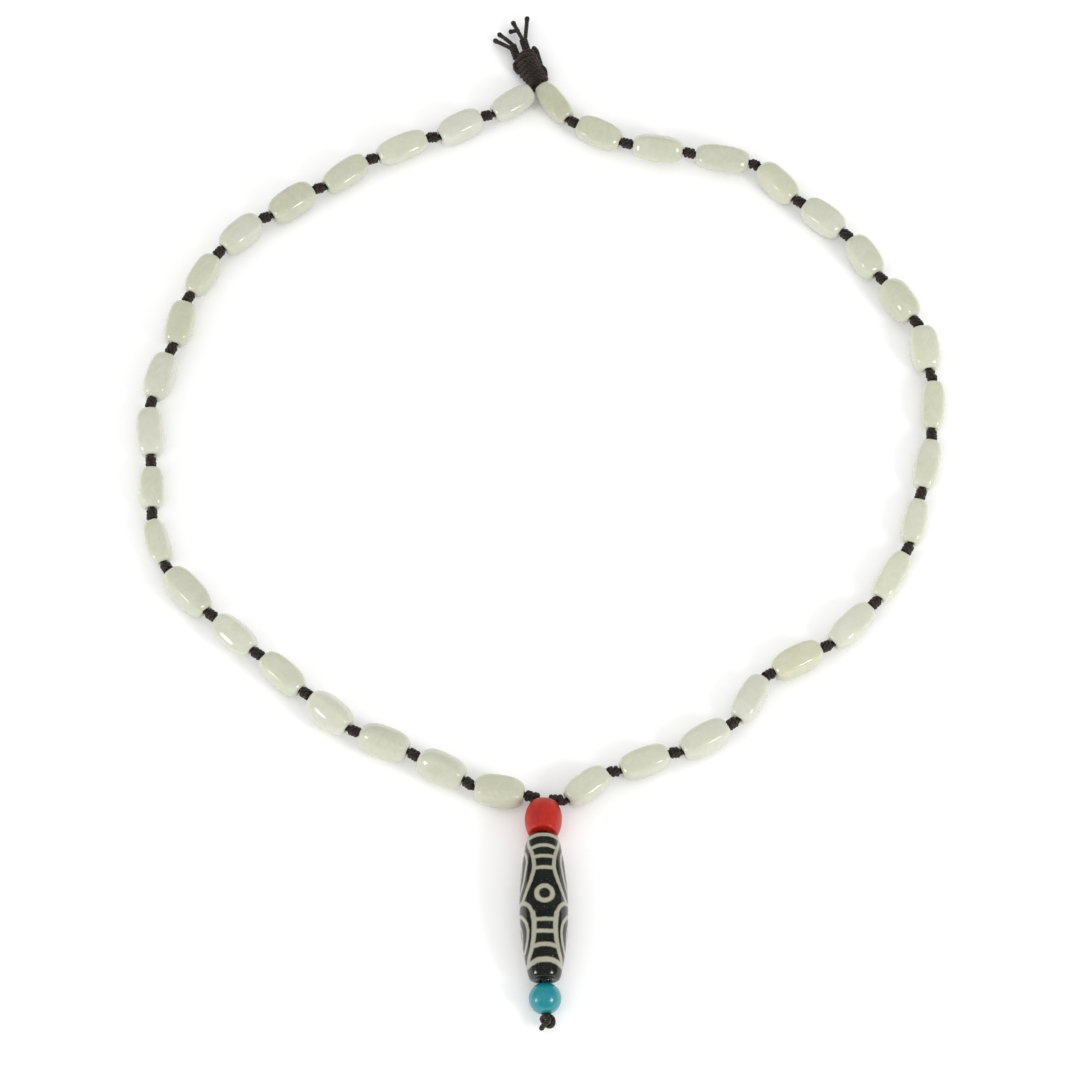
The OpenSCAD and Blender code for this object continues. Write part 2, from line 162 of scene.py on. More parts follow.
class PendantSettings(bpy.types.PropertyGroup):
    """Form and colour of the pendant's beads."""

    coral_diameter: length_setting("Coral diameter", "Diameter of the coral bead", 9.4)
    coral_length: length_setting("Coral length", "Length of the coral bead", 9)
    coral_end: length_setting("Coral end", "Diameter of the coral bead's ends", 7.2)
    coral_heading: angle_setting("Coral heading", "Way of the coral bead from +X", 268.5)
    coral_pitch: angle_setting("Coral pitch", "How far its lower end is lifted", 15)
    coral_colour: colour_setting("Coral", "Colour of the coral bead", 176, 28, 14)
    coral_shade: colour_setting("Coral shade", "Darker colour in the coral bead", 148, 17, 8)
    dzi_diameter: length_setting("Dzi diameter", "Diameter of the dzi bead", 12)
    dzi_length: length_setting("Dzi length", "Length of the dzi bead", 37.4)
    dzi_end: length_setting("Dzi end", "Diameter of the dzi bead's ends", 7.5)
    dzi_heading: angle_setting("Dzi heading", "Way of the dzi bead from +X", 270.7)
    dzi_pitch: angle_setting("Dzi pitch", "How far its lower end is lifted", -3.5)
    dzi_colour: colour_setting("Dzi ground", "Dark colour of the dzi bead", 7, 9, 8)
    dzi_line: colour_setting("Dzi line", "Colour of the dzi bead's lines", 152, 152, 137)
    turquoise_diameter: length_setting("Turquoise diameter", "Diameter of the round bead", 8)
    turquoise_heading: angle_setting("Turquoise heading", "Way of the round bead from +X", 275)
    turquoise_pitch: angle_setting("Turquoise pitch", "How far its hole is lifted", -10)
    turquoise_colour: colour_setting("Turquoise", "Colour of the round bead", 0, 126, 140)
    turquoise_pale: colour_setting("Turquoise pale", "Paler patches", 58, 150, 168)
    turquoise_green: colour_setting("Turquoise green", "Greener patches", 30, 134, 104)
    bore: length_setting("Hole", "Diameter of the holes in the pendant's beads", 2.7)
    coral_rim: length_setting("Coral rim", "How far the rims of the coral bead are rounded", 0.7)
    dzi_rim: length_setting("Dzi rim", "How far the rims of the dzi bead are rounded", 2)
    turquoise_rim: length_setting("Turquoise rim", "How far its hole's rims are rounded", 0.35)


class StageSettings(bpy.types.PropertyGroup):
    """Floor, light and camera."""

    floor_colour: colour_setting("Floor", "Colour of the floor", 250, 250, 250)
    sky: share_setting("Sky", "Strength of the light from all round", 1.0, 5)
    mirrored: share_setting("Mirrored sky", "Share of the sky that polished surfaces show", 0.24)
    lamp_power: share_setting("Lamps", "Power of the right soft box, in watts", 2.9, 100)
    lamp_size: length_setting("Lamp size", "Width of a soft box", 235)
    lamp_distance: length_setting("Lamp distance", "Distance of a soft box", 1000)
    camera_distance: length_setting("Camera distance", "Distance of the camera", 1220)
    camera_elevation: angle_setting("Camera elevation", "Height of the view over the floor", 63.9)
    lens: share_setting("Lens", "Focal length of the camera, in millimetres", 159.37, 500)
    aim: bpy.props.FloatVectorProperty(
        name="Aim",
        description="Point that the camera looks at",
        default=(-0.000294, -0.013211, 0.0034),
        subtype="XYZ",
        unit="LENGTH",
    )


# Mesh tools

# Turns in degrees of the rings that round off a tube's end, from its tip
END_TURNS = (82, 62, 38, 18)
# Spaces between the rings of a strand and between the first points of an outline
STRAND_STEP = 0.22 * MM
OUTLINE_STEP = 0.04 * MM
# How strongly a bend draws an outline's points together
BEND_WEIGHT = 0.9 * MM


def unit(vector):
    """The vector at length one."""
    vector = np.asarray(vector, float)
    return vector / np.linalg.norm(vector)


def slanted(heading, rise):
    """The way at a heading from +X that rises by an angle, both in radians."""
    level = math.cos(rise)
    return np.array([math.cos(heading) * level, math.sin(heading) * level, math.sin(rise)])


def across_and_up(way):
    """The level direction across a way and the direction that is upward from it."""
    across = unit(np.cross(way, (0, 0, 1)))
    return across, np.cross(across, way)


def box_centre(node):
    """Centre of a CAD node's box, in metres."""
    low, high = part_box(node)
    return (np.array(low) + np.array(high)) / 2


def faces_inward(grid, closed):
    """Whether the faces made ring by ring, side by side, would look into the grid's body."""
    if closed:
        rings = np.concatenate([grid, grid[:1]])
    else:
        first, last = (np.broadcast_to(grid[end].mean(axis=0), grid[:1].shape) for end in (0, -1))
        rings = np.concatenate([first, grid, last])
    beside = np.roll(rings, -1, axis=1)
    turned = np.cross(beside[:-1], beside[1:]) + np.cross(beside[1:], rings[1:])
    return np.sum(rings[:-1] * turned) < 0


class Pieces:
    """Collects grids of points as one mesh, with the length along and place around in its UVs."""

    def __init__(self):
        self.points = []
        self.faces = []
        self.corners = []
        self.fields = {}
        self.count = 0

    def add(self, grid, along=None, closed=False, **fields):
        """Adds a grid of rings. A closed one joins its last to its first, others are capped."""
        grid = np.asarray(grid, float)
        rings, sides = grid.shape[:2]
        if along is None:
            along = np.arange(rings) * MM
        for name, values in fields.items():
            values = np.asarray(values, float).reshape(rings * sides, -1)
            self.fields.setdefault(name, []).append(values)
        step = -1 if faces_inward(grid, closed) else 1
        for ring in range(rings if closed else rings - 1):
            after = (ring + 1) % rings
            near = along[ring] / MM
            far = along[after] / MM if after else near
            for side in range(sides):
                beside = (side + 1) % sides
                start, end = self.count + ring * sides, self.count + after * sides
                face = (start + side, start + beside, end + beside, end + side)
                self.faces.append(face[::step])
                left, right = side / sides, (side + 1) / sides
                corners = ((left, near), (right, near), (right, far), (left, far))
                self.corners.extend(corners[::step])
        if not closed:
            last = self.count + (rings - 1) * sides
            self.faces.append(tuple(range(self.count + sides - 1, self.count - 1, -1))[::step])
            self.faces.append(tuple(range(last, last + sides))[::step])
            for end in (along[0] / MM, along[-1] / MM):
                self.corners.extend((side / sides, end) for side in range(sides))
        self.points.append(grid.reshape(-1, 3))
        self.count += rings * sides

    def build(self, name, material):
        """The collected grids as one smooth object."""
        mesh = bpy.data.meshes.new(name)
        mesh.from_pydata(np.concatenate(self.points).tolist(), [], self.faces)
        layer = mesh.uv_layers.new(name="strand")
        layer.data.foreach_set("uv", np.array(self.corners, np.float32).ravel())
        for field, values in self.fields.items():
            values = np.concatenate(values)
            kind, slot = {1: ("FLOAT", "value"), 3: ("FLOAT_VECTOR", "vector")}[values.shape[1]]
            if field == "tint":
                kind, slot = "FLOAT_COLOR", "color"
                values = np.hstack([values, np.ones((len(values), 1))])
            made = mesh.attributes.new(field, kind, "POINT")
            made.data.foreach_set(slot, values.ravel().astype(np.float32))
        mesh.polygons.foreach_set("use_smooth", [True] * len(mesh.polygons))
        mesh.materials.append(material)
        mesh.update()
        piece = bpy.data.objects.new(name, mesh)
        bpy.context.scene.collection.objects.link(piece)
        return piece


def settle(piece, slot, *nodes):
    """Lets a piece stand for CAD nodes, on the necklace's one body."""
    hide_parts(*nodes)
    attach(piece, "root")


def smooth_path(points, count):
    """Points at even steps along a smooth curve through the given ones."""
    points = np.asarray(points, float)
    if len(points) == 2:
        shares = np.linspace(0, 1, count)[:, None]
        return points[0] * (1 - shares) + points[1] * shares
    padded = np.vstack([2 * points[0] - points[1], points, 2 * points[-1] - points[-2]])
    dense = []
    for i in range(1, len(padded) - 2):
        before, start, end, after = padded[i - 1 : i + 3]
        linear = end - before
        square = 2 * before - 5 * start + 4 * end - after
        cubic = 3 * start - before - 3 * end + after
        for t in np.linspace(0, 1, 24, endpoint=False):
            dense.append(0.5 * (2 * start + linear * t + square * t**2 + cubic * t**3))
    dense.append(points[-1])
    dense = np.array(dense)
    travelled = np.r_[0, np.cumsum(np.linalg.norm(np.diff(dense, axis=0), axis=1))]
    steps = np.linspace(0, travelled[-1], count)
    return np.stack([np.interp(steps, travelled, dense[:, axis]) for axis in range(3)], axis=1)


def turned(angles, across, up):
    """The directions at angles from across towards up."""
    return np.outer(np.cos(angles), across) + np.outer(np.sin(angles), up)


def sweep(path, radius, sides):
    """Rings of points round a path, rounded at its ends, and the length along at each ring."""
    path = np.asarray(path, float)
    radii = np.broadcast_to(np.asarray(radius, float), (len(path),)).copy()
    ways = np.gradient(path, axis=0)
    ways /= np.linalg.norm(ways, axis=1)[:, None]
    turns = np.radians(END_TURNS)
    first = [path[0] - ways[0] * radii[0] * math.sin(turn) for turn in turns]
    last = [path[-1] + ways[-1] * radii[-1] * math.sin(turn) for turn in turns[::-1]]
    radii = np.r_[radii[0] * np.cos(turns), radii, radii[-1] * np.cos(turns[::-1])]
    path = np.vstack([first, path, last])
    ways = np.vstack([[ways[0]] * len(turns), ways, [ways[-1]] * len(turns)])
    across = np.cross(ways[0], (0, 0, 1))
    if np.linalg.norm(across) < 1e-3:
        across = np.array([1.0, 0, 0])
    rings = []
    angles = np.arange(sides) * 2 * math.pi / sides
    for point, way, size in zip(path, ways, radii):
        across = unit(across - way * (across @ way))
        up = np.cross(across, way)
        rings.append(point + size * turned(angles, across, up))
    along = np.r_[0, np.cumsum(np.linalg.norm(np.diff(path, axis=0), axis=1))]
    return np.array(rings), along


def add_tube(pieces, path, radius, sides=12):
    """Adds a tube with round ends along a path."""
    pieces.add(*sweep(path, radius, sides))


def add_strand(pieces, points, diameter):
    """Adds one strand along a smooth curve, with rings set STRAND_STEP apart."""
    reach = sum(np.linalg.norm(np.subtract(b, a)) for a, b in zip(points, points[1:]))
    add_tube(pieces, smooth_path(points, max(4, int(reach / STRAND_STEP))), diameter / 2)


def rounded_loop(corners, rounding, count):
    """A closed outline of (along, radius) corners with rounded turns, its points closer there."""
    corners = np.asarray(corners, float)
    closed = np.vstack([corners, corners[:1]])
    travelled = np.r_[0, np.cumsum(np.linalg.norm(np.diff(closed, axis=0), axis=1))]
    dense = int(travelled[-1] / OUTLINE_STEP)
    steps = np.linspace(0, travelled[-1], dense, endpoint=False)
    outline = np.stack([np.interp(steps, travelled, closed[:, i]) for i in (0, 1)], axis=1)
    window = max(1, int(rounding / OUTLINE_STEP) // 2)
    for _ in range(2):
        total = sum(np.roll(outline, shift, axis=0) for shift in range(-window, window + 1))
        outline = total / (2 * window + 1)
    ahead = np.roll(outline, -1, axis=0) - outline
    pace = np.linalg.norm(ahead, axis=1)
    turn = np.arctan2(ahead[:, 1], ahead[:, 0])
    bend = np.abs((np.diff(np.r_[turn, turn[0]]) + math.pi) % (2 * math.pi) - math.pi)
    weight = np.r_[0, np.cumsum(pace + BEND_WEIGHT * bend)]
    wanted = np.linspace(0, weight[-1], count, endpoint=False)
    places = np.interp(wanted, weight, np.arange(len(outline) + 1))
    looped = np.vstack([outline, outline[:1]])
    index = np.arange(len(outline) + 1)
    return np.stack([np.interp(places, index, looped[:, i]) for i in (0, 1)], axis=1)


def wobble(point, size, seed):
    """A smooth number from -1 to 0 that depends on the place alone."""
    value = noise.noise(Vector((float(p) / size for p in point)) + Vector((seed, 2 * seed, 0)))
    return 0.5 * (value - 1)


# Material tools


def new_material(name):
    """A material with one shader, and that shader."""
    material = bpy.data.materials.new(name)
    material.use_nodes = True
    nodes = material.node_tree.nodes
    nodes.clear()
    output = nodes.new("ShaderNodeOutputMaterial")
    shader = nodes.new("ShaderNodeBsdfPrincipled")
    material.node_tree.links.new(shader.outputs["BSDF"], output.inputs["Surface"])
    return material, shader


def put(material, kind, inputs=None, **settings):
    """Adds a node with its settings, and its inputs as values or links."""
    node = material.node_tree.nodes.new(kind)
    for name, value in settings.items():
        setattr(node, name, value)
    join(material, node, inputs or {})
    return node


def join(material, node, inputs):
    """Sets a node's inputs to values, or links them to other nodes' outputs."""
    for socket, value in inputs.items():
        if isinstance(value, bpy.types.NodeSocket):
            material.node_tree.links.new(value, node.inputs[socket])
        elif hasattr(value, "__len__") and len(value) == 3 and node.inputs[socket].type == "RGBA":
            node.inputs[socket].default_value = (*value, 1)
        else:
            node.inputs[socket].default_value = value


def mixed(material, factor, first, second):
    """The output of a colour mix."""
    inputs = {0: factor, 6: first, 7: second}
    return put(material, "ShaderNodeMix", inputs, data_type="RGBA").outputs[2]


def carried(material, name, output):
    """A field that the mesh carries, as one of its node's outputs."""
    return put(material, "ShaderNodeAttribute", attribute_name=name).outputs[output]


def noise_texture(material, scale, detail=3, roughness=0.5, distortion=0, vector=None):
    """A noise's output, on the object's own coordinates if no others are given."""
    if vector is None:
        vector = put(material, "ShaderNodeTexCoord").outputs["Object"]
    inputs = {
        "Vector": vector,
        "Scale": scale,
        "Detail": detail,
        "Roughness": roughness,
        "Distortion": distortion,
    }
    return put(material, "ShaderNodeTexNoise", inputs).outputs["Fac"]


def ramp(material, value, *stops):
    """A value turned into a grey or a colour by stops of (place, colour)."""
    node = put(material, "ShaderNodeValToRGB", {"Fac": value})
    elements = node.color_ramp.elements
    while len(elements) < len(stops):
        elements.new(0.5)
    for element, (place, colour) in zip(elements, stops):
        element.position = place
        if not hasattr(colour, "__len__"):
            colour = (colour,) * 3
        element.color = (*colour, 1)
    return node.outputs["Color"]


def arithmetic(material, operation, first, second=0.0, third=0.0):
    """The output of one sum."""
    inputs = {0: first, 1: second, 2: third}
    return put(material, "ShaderNodeMath", inputs, operation=operation).outputs[0]


def laid(material, under, over, mask, share):
    """One colour laid over another where a mask is white, at a share of full strength."""
    return mixed(material, arithmetic(material, "MULTIPLY", mask, share), under, over)


def bump(material, height, distance, strength=1.0, normal=None):
    """A bump's output, over another bump if one is given."""
    inputs = {"Height": height, "Distance": distance, "Strength": strength}
    if normal is not None:
        inputs["Normal"] = normal
    return put(material, "ShaderNodeBump", inputs).outputs["Normal"]


# Jade beads

# Size of the swells in a bead's sides, and how far apart two beads lie in the same stone
JADE_SWELL = 7 * MM
STONE_SPACING = 30 * MM


def read_bead(node):
    """Centre, way, roll, length and width of a jade bead, from its CAD node."""
    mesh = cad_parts[node].data
    points = np.unique(np.round([tuple(v.co) for v in mesh.vertices], 7), axis=0)
    centre = (points.min(0) + points.max(0)) / 2
    level = points[:, :2] - centre[:2]
    way = np.array([*np.linalg.svd(level, full_matrices=False)[2][0], 0.0])
    across, up = across_and_up(way)
    along = (points - centre) @ way
    middle = points[np.abs(along) < 0.01 * MM] - centre
    aside, above = middle @ across, middle @ up
    radius = np.hypot(aside, above)
    corner = np.argmax(radius)
    roll = math.degrees(math.atan2(above[corner], aside[corner])) - 45
    return {
        "centre": centre,
        "way": way,
        "roll": math.radians(roll % 90),
        "length": 2 * along.max(),
        "width": 2 * radius[radius > 2 * MM].min(),
    }


def jade_grid(bead, seed, ridges, sides=64, rings=76):
    """Rings of points of one bead, through its hole and back along its side."""
    jade = bpy.context.scene.necklace_jade
    half, radius, bore = bead["length"] / 2, bead["width"] / 2, jade.bore / 2
    full, square = jade.fullness, jade.squareness
    cut = (1 - jade.end_share**full) ** (1 / full)
    places = np.sin(np.linspace(math.pi / 2, -math.pi / 2, 61))
    side = [(half * p, radius * (1 - abs(cut * p) ** full) ** (1 / full)) for p in places]
    outline = rounded_loop([(-half, bore), (half, bore), *side], jade.rim, rings)
    angles = np.arange(sides) * 2 * math.pi / sides
    corner = np.abs(np.cos(angles)) ** square + np.abs(np.sin(angles)) ** square
    corner **= -1 / square
    pitch = 2 * math.pi / ridges
    off_ridge = ((angles - math.pi / 4 + pitch / 2) % pitch - pitch / 2) / jade.ridge_turn
    corner *= 1 + jade.ridge * np.exp(-off_ridge * off_ridge)
    across, up = across_and_up(bead["way"])
    grid, local = [], []
    end_radius = jade.end_share * radius
    for place, reach in outline:
        blend = min(1, max(0, (reach - bore) / (end_radius - bore)))
        blend = blend * blend * (3 - 2 * blend)
        ring = []
        for angle, square_reach in zip(angles, corner):
            out = across * math.cos(angle + bead["roll"]) + up * math.sin(angle + bead["roll"])
            size = reach * (1 + (square_reach - 1) * blend)
            point = bead["way"] * place + out * size
            size += blend * jade.unevenness * wobble(point, JADE_SWELL, seed)
            point = bead["centre"] + bead["way"] * place + out * size
            point[2] = max(point[2], 0)
            ring.append(point)
            local.append((place, size * math.cos(angle), size * math.sin(angle)))
        grid.append(ring)
    return np.array(grid), np.array(local) + seed * STONE_SPACING


def jade_material():
    """Cloudy, softly polished pale stone that light sinks into."""
    jade = bpy.context.scene.necklace_jade
    material, shader = new_material("jade stone")
    place = carried(material, "place", "Vector")
    patches = noise_texture(material, 120, 2, 0.45, 0.5, place)
    clouds = ramp(material, patches, (0.36, 0), (0.68, 1))
    threads = noise_texture(material, 240, 3, 0.5, 1.6, place)
    veins = ramp(material, threads, (0.46, 0), (0.56, 1), (0.66, 0))
    specks = ramp(material, noise_texture(material, 700, 1, 0.5, 0, place), (0.80, 0), (0.84, 1))
    colour = laid(material, carried(material, "tint", "Color"), jade.shade, clouds, 0.34)
    colour = laid(material, colour, display(232, 233, 222), veins, 0.10)
    colour = laid(material, colour, display(150, 146, 120), specks, 0.10)
    rubbing = noise_texture(material, 420, 3, 0.5, 0, place)
    swell = noise_texture(material, 520, 2, 0.5, 0, place)
    grain = noise_texture(material, 2600, 3, 0.6, 0, place)
    looks = {
        "Base Color": colour,
        "Roughness": ramp(material, rubbing, (0.3, 0.13), (0.7, 0.19)),
        "Normal": bump(material, grain, 0.006 * MM, 0.2, bump(material, swell, 0.04 * MM, 0.25)),
        "IOR": 1.6,
        "Specular IOR Level": 0.42,
        "Subsurface Weight": 0.6,
        "Subsurface Scale": 2.2 * MM,
        "Subsurface Radius": (1.0, 0.95, 0.7),
        "Coat Weight": 0.18,
        "Coat Roughness": 0.1,
    }
    join(material, shader, looks)
    return material


class NecklaceJadeBeads(bpy.types.Operator):
    """Make the jade beads of both strings"""

    bl_idname = "object.necklace_jade_beads"
    bl_label = "Jade Beads"

    def execute(self, context):
        jade = context.scene.necklace_jade
        material = jade_material()
        left = zip(LEFT_BEADS, LEFT_PALE, LEFT_YELLOW, strict=True)
        right = zip(RIGHT_BEADS, RIGHT_PALE, RIGHT_YELLOW, strict=True)
        for seed, (node, pale, yellow) in enumerate((*left, *right)):
            ridges = 2 * RIDGES if node in RIDGED_FLATS else RIDGES
            grid, local = jade_grid(read_bead(node), seed, ridges)
            tint = np.array(jade.colour) * (1 + jade.pale_step * pale)
            tint *= (1 + jade.red_step * abs(yellow), 1, 1 - jade.yellow_step * yellow)
            pieces = Pieces()
            pieces.add(grid, closed=True, tint=np.tile(tint, (len(local), 1)), place=local)
            settle(pieces.build(f"{node}_stone", material), "jade", node)
        return {"FINISHED"}


# Cord

# Plies of a strand and the length of one turn of theirs, in millimetres
PLIES = 3
LAY = 0.8
# Step from rib to rib of a knot as a share of its strand, and rings to a rib
RIB_PITCH = 0.92
RIB_RINGS = 26
# How far a tilted bead's end reaches into a knot's space, as shares of the knot's diameter
TILT_ASIDE = 0.85 / 3
TILT_AHEAD = 0.17
# How far behind the coral bead the strings part, how far on the long knots begin, and
# how far the cord runs on past a bead's hole
PARTING = 1.5 * MM
LONG_KNOT_START = 1.15 * MM
RUN_ON = 1.2 * MM
LAST_RUN_ON = 0.15 * MM


def cord_material():
    """Waxed dark cord of twisted fibres, made once for all pieces."""
    if "waxed cord" in bpy.data.materials:
        return bpy.data.materials["waxed cord"]
    cord = bpy.context.scene.necklace_cord
    material, shader = new_material("waxed cord")
    spot = put(material, "ShaderNodeUVMap", uv_map="strand").outputs["UV"]
    split = put(material, "ShaderNodeSeparateXYZ", {"Vector": spot})
    around = arithmetic(material, "MULTIPLY", split.outputs["X"], PLIES * 2 * math.pi)
    along = arithmetic(material, "MULTIPLY", split.outputs["Y"], 2 * math.pi / LAY)
    wave = arithmetic(material, "SINE", arithmetic(material, "ADD", around, along))
    ridge = arithmetic(material, "MULTIPLY_ADD", wave, 0.5, 0.5)
    fibres = noise_texture(material, 5200, 4, 0.65)
    patches = noise_texture(material, 500, 3, 0.5)
    worn = ramp(material, patches, (0.45, 0), (0.75, 1))
    fuzz = ramp(material, fibres, (0.4, 0), (0.7, 1))
    # Painted shade: the grooves between the plies are darkened towards the cord's shade colour
    colour = mixed(material, ramp(material, ridge, (0.05, 0), (0.6, 1)), cord.shade, cord.colour)
    colour = laid(material, colour, display(84, 64, 58), worn, 0.3)
    colour = laid(material, colour, cord.shade, fuzz, 0.3)
    looks = {
        "Base Color": colour,
        "Roughness": ramp(material, patches, (0.3, 0.5), (0.7, 0.68)),
        "Normal": bump(material, fibres, 0.03 * MM, 0.6, bump(material, ridge, 0.1 * MM, 0.9)),
        "Specular IOR Level": 0.3,
        "Sheen Weight": 0.12,
        "Sheen Roughness": 0.5,
    }
    join(material, shader, looks)
    return material


def ribbed_knot(pieces, start, end, diameter, strand, turn=0.0, sense=1):
    """Adds a short knot between two points: a strand wound round a core."""
    length = np.linalg.norm(end - start)
    way = (end - start) / length
    ribs = max(2, round((length - strand) / (RIB_PITCH * strand)) + 1)
    turns = np.linspace(0, ribs, RIB_RINGS * ribs)
    places = strand / 2 + (length - strand) * np.clip((turns - 0.5) / (ribs - 1), 0, 1)
    outward = turned(sense * 2 * math.pi * turns + turn, *across_and_up(way))
    path = start + np.outer(places, way) + (diameter - strand) / 2 * outward
    add_tube(pieces, path, strand / 2, sides=10)
    inset = way * 0.3 * strand
    core = np.linspace(start + inset, end - inset, 16)
    add_tube(pieces, core, diameter / 2 - 0.6 * strand, sides=14)


def bead_mouths(bead):
    """The two ends of a bead's hole."""
    reach = bead["way"] * bead["length"] / 2
    return bead["centre"] - reach, bead["centre"] + reach


def knot_ends(start, end, start_way, end_way, diameter):
    """Ends of a knot that keeps clear of the tilted beads on both sides."""
    cord = bpy.context.scene.necklace_cord
    way = unit(end - start)

    def clearance(bead_way):
        lean = math.acos(min(1, abs(float(way @ bead_way))))
        reach = TILT_ASIDE * math.sin(lean) + TILT_AHEAD * (1 - math.cos(lean))
        return (cord.gap + diameter * reach) / math.cos(lean)

    return start + clearance(start_way) * way, end - clearance(end_way) * way


def parting_point():
    """Point where the cord out of the coral bead parts into the two strings."""
    pendant = bpy.context.scene.necklace_pendant
    way = slanted(pendant.coral_heading, pendant.coral_pitch)
    top = box_centre("coral_bead") - way * pendant.coral_length / 2
    return top - slanted(pendant.coral_heading, 0) * PARTING


class NecklaceKnottedCord(bpy.types.Operator):
    """Make the cord of both strings with its ribbed knots"""

    bl_idname = "object.necklace_knotted_cord"
    bl_label = "Knotted Cord"

    def execute(self, context):
        cord = context.scene.necklace_cord
        for names, node in (
            (LEFT_BEADS, "knotted_cord_left"),
            (RIGHT_BEADS, "knotted_cord_right"),
        ):
            pieces = Pieces()
            before, before_way = parting_point(), None
            for number, name in enumerate(names):
                mouths = bead_mouths(read_bead(name))
                near, far = sorted(mouths, key=lambda mouth: np.linalg.norm(mouth - before))
                way = unit(far - near)
                if number == 0:
                    start = before + unit(near - before) * LONG_KNOT_START
                    _, end = knot_ends(before, near, way, way, cord.long_knot)
                    sizes = cord.long_knot, cord.long_strand
                    ribbed_knot(pieces, start, end, *sizes, turn=0.6)
                else:
                    start, end = knot_ends(before, near, before_way, way, cord.knot)
                    sense = 1 if number % 3 else -1
                    sizes = cord.knot, cord.strand
                    ribbed_knot(pieces, start, end, *sizes, turn=0.9 * number, sense=sense)
                run_on = LAST_RUN_ON if name == names[-1] else RUN_ON
                path = np.linspace(near - way * RUN_ON, far + way * run_on, 70)
                add_tube(pieces, path, cord.cord / 2)
                before, before_way = far, way
            settle(pieces.build(f"{node}_braid", cord_material()), "cord", node)
        return {"FINISHED"}


# Pendant

# How far the coral bead's side is off true, the size of its swells, and the share of its
# end's radius within which it is true
CORAL_UNEVENNESS = 0.14 * MM
CORAL_SWELL = 5 * MM
CORAL_TRUE = 0.6


def barrel_outline(length, diameter, end_diameter, rim, count):
    """Closed outline of a drilled barrel: an arc along its side, rounded rims and the hole."""
    bore = bpy.context.scene.necklace_pendant.bore
    sag = (diameter - end_diameter) / 2
    arc = ((length / 2) ** 2 + sag * sag) / (2 * sag)
    places = np.linspace(length / 2, -length / 2, 161)
    side = [(p, math.sqrt(arc * arc - p * p) - arc + diameter / 2) for p in places]
    return rounded_loop([(-length / 2, bore / 2), (length / 2, bore / 2), *side], rim, count)


def lathe(outline, centre, way, sides, size=None):
    """Rings of points of an outline turned about a way, and each point's place on it.

    The place is the length along, the turn from the top and the radius.
    """
    across, up = across_and_up(way)
    angles = np.arange(sides) * 2 * math.pi / sides
    grid, places = [], []
    for along, radius in outline:
        ring = []
        for angle in angles:
            out = across * math.sin(angle) + up * math.cos(angle)
            reach = radius if size is None else size(along, angle, radius)
            ring.append(centre + way * along + out * reach)
            places.append((along, angle, radius))
        grid.append(ring)
    return np.array(grid), np.array(places)


def coral_material():
    """Satin red coral with faint growth lines and paler clouds."""
    pendant = bpy.context.scene.necklace_pendant
    material, shader = new_material("red coral")
    place = carried(material, "place", "Vector")
    lengthwise = {"Vector": place, "Scale": (0.12, 1, 1)}
    stretched = put(material, "ShaderNodeMapping", lengthwise).outputs["Vector"]
    growth = noise_texture(material, 2300, 4, 0.6, 0.4, stretched)
    clouds = ramp(material, noise_texture(material, 190, 3, 0.5, 0.5, place), (0.4, 0), (0.65, 1))
    lines = ramp(material, growth, (0.45, 0), (0.7, 1))
    colour = laid(material, pendant.coral_colour, pendant.coral_shade, clouds, 0.5)
    looks = {
        "Base Color": laid(material, colour, display(222, 84, 62), lines, 0.16),
        "Roughness": ramp(material, clouds, (0, 0.36), (1, 0.46)),
        "Normal": bump(material, growth, 0.03 * MM, 0.4),
        "Specular IOR Level": 0.36,
        "Subsurface Weight": 0.12,
        "Subsurface Scale": 0.8 * MM,
        "Subsurface Radius": (1.0, 0.3, 0.2),
        "Coat Weight": 0.1,
        "Coat Roughness": 0.28,
    }
    join(material, shader, looks)
    return material


class NecklaceCoralBead(bpy.types.Operator):
    """Make the coral bead where the strings meet"""

    bl_idname = "object.necklace_coral_bead"
    bl_label = "Coral Bead"

    def execute(self, context):
        pendant = context.scene.necklace_pendant
        way = slanted(pendant.coral_heading, pendant.coral_pitch)
        length, diameter, end = pendant.coral_length, pendant.coral_diameter, pendant.coral_end
        outline = barrel_outline(length, diameter, end, pendant.coral_rim, count=110)

        def uneven(along, angle, radius):
            if radius < CORAL_TRUE * end / 2:
                return radius
            spot = (along, radius * math.cos(angle), radius * math.sin(angle))
            return radius + CORAL_UNEVENNESS * wobble(spot, CORAL_SWELL, 5)

        grid, places = lathe(outline, box_centre("coral_bead"), way, sides=112, size=uneven)
        along, turn, radius = places.T
        local = np.stack([along, radius * np.cos(turn), radius * np.sin(turn)], 1)
        pieces = Pieces()
        pieces.add(grid, closed=True, place=local)
        settle(pieces.build("coral_bead_stone", coral_material()), "coral", "coral_bead")
        return {"FINISHED"}


